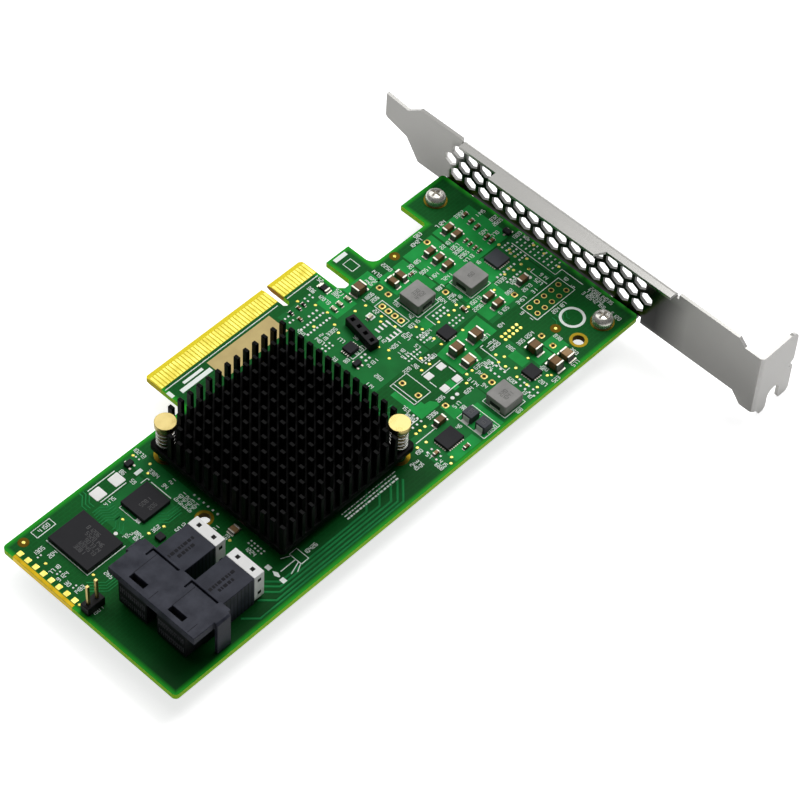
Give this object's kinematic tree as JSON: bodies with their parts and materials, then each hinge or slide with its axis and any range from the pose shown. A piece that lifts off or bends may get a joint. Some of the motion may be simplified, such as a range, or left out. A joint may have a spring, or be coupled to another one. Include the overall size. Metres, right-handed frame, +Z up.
{
  "type": "host bus adapter",
  "caption": "Low expansion card with an edge connector, a folded perforated bracket, a black pin heatsink on sprung push pins and a right angle cable port block, for joining drives to a server.",
  "frame": {"origin": "middle of the key notch, on the line of the edge contact tips, at the board's component face", "axes": "+X along the board towards the bracket, +Y towards the edge contact tips, +Z up out of the component face"},
  "size_m": [0.1669, 0.12, 0.0238],
  "materials": {
    "solder_mask": "dark green lacquer over woven glass board",
    "gilt_contact": "bright gilt plating",
    "plated_sheet": "dull plated sheet steel",
    "screw_steel": "bright plated steel",
    "black_anodised": "black anodised",
    "pin_brass": "pale brass, turned",
    "spring_wire": "bright wire",
    "chip_epoxy": "matt moulding compound",
    "gap_pad": "soft filled silicone",
    "port_plastic": "slate grey glass filled plastic",
    "clip_plastic": "white plastic",
    "header_plastic": "black plastic",
    "coil_ferrite": "grey pressed iron powder",
    "tinned_terminal": "tinned sheet",
    "capacitor_ceramic": "brown fired ceramic with tinned ends"
  },
  "bodies": {
    "root": {"circuit_board": "solder_mask", "edge_contacts_top": "gilt_contact", "edge_contacts_bottom": "gilt_contact", "bracket": "plated_sheet", "bracket_screws": "screw_steel", "controller_chip": "chip_epoxy", "thermal_pad": "gap_pad", "heatsink": "black_anodised", "push_pins": "pin_brass", "pin_springs": "spring_wire", "connector_hood": "port_plastic", "port_socket_back": "port_plastic", "port_socket_front": "port_plastic", "port_wafers_back": "port_plastic", "port_wafers_front": "port_plastic", "port_clip_back": "clip_plastic", "port_clip_front": "clip_plastic", "header_base": "header_plastic", "header_pins": "gilt_contact", "strip_header": "header_plastic", "memory_chip": "chip_epoxy", "flash_chip": "chip_epoxy", "regulator_chip": "chip_epoxy", "converter_chip_back": "chip_epoxy", "converter_chip_front": "chip_epoxy", "driver_chip": "chip_epoxy", "clock_chip": "chip_epoxy", "logic_chip": "chip_epoxy", "logic_chip_leads": "tinned_terminal", "inductor_back": "coil_ferrite", "inductor_bracket": "coil_ferrite", "inductor_front": "coil_ferrite", "inductor_terminals": "tinned_terminal", "choke_bodies": "header_plastic", "choke_terminals": "tinned_terminal", "bulk_capacitors": "capacitor_ceramic", "flat_capacitors": "capacitor_ceramic", "chip_capacitors": "capacitor_ceramic"}
  },
  "joints": []
}
